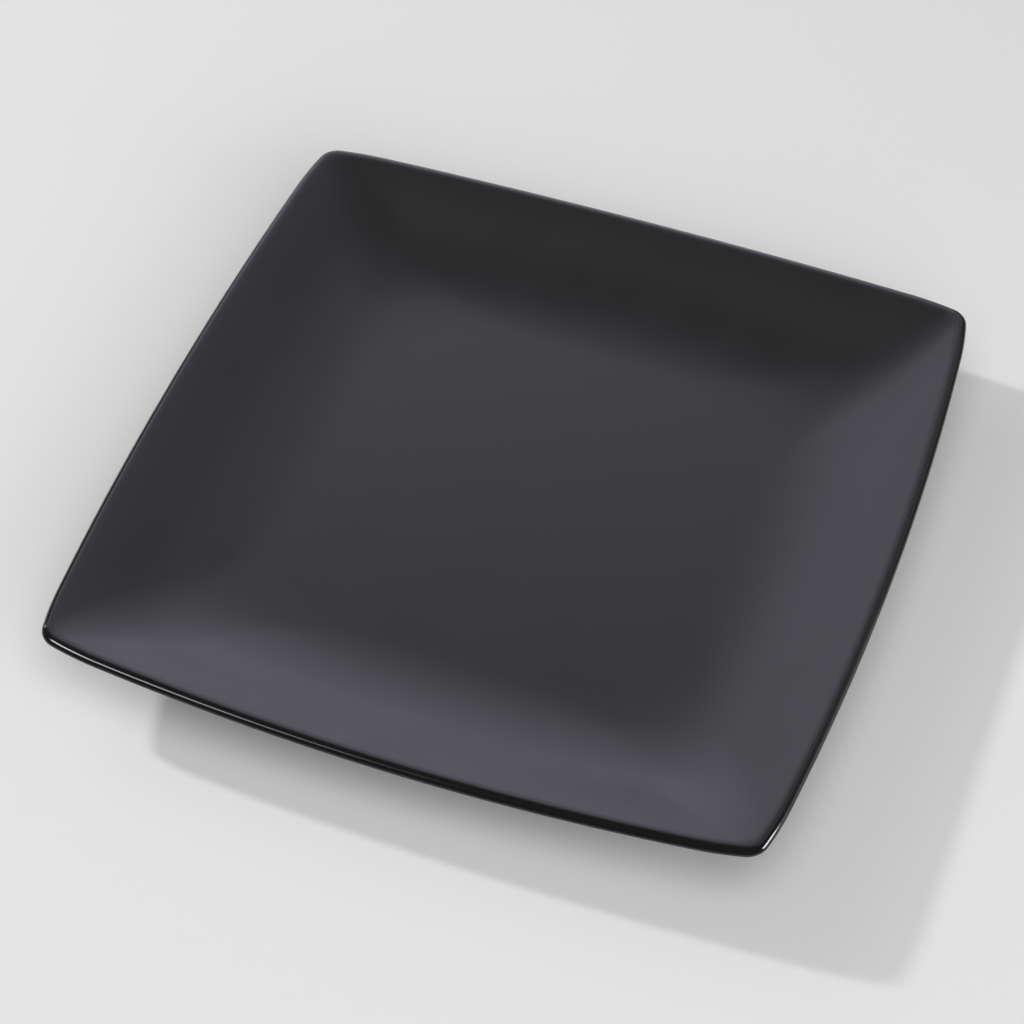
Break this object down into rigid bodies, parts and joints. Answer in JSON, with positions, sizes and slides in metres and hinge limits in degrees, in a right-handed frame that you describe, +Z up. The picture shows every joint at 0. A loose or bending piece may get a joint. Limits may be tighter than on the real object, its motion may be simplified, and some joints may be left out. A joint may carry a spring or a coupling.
{
  "type": "dessert plate",
  "caption": "Square dessert plate with bowed sides, rounded corners and a shallow well on a foot ring, satin black on its face and gloss black over the lip and underside.",
  "frame": {"origin": "on the table, below the middle of the plate", "axes": "+Z up out of the well, X and Y square to the plate's sides"},
  "size_m": [0.205, 0.205, 0.0215],
  "materials": {
    "stoneware": "bare fired clay, fine grain",
    "satin_glaze": "satin black",
    "gloss_glaze": "gloss black"
  },
  "bodies": {
    "root": {"stoneware_body": "stoneware", "face_glaze": "satin_glaze", "outer_glaze": "gloss_glaze", "base_glaze": "gloss_glaze"}
  },
  "joints": []
}
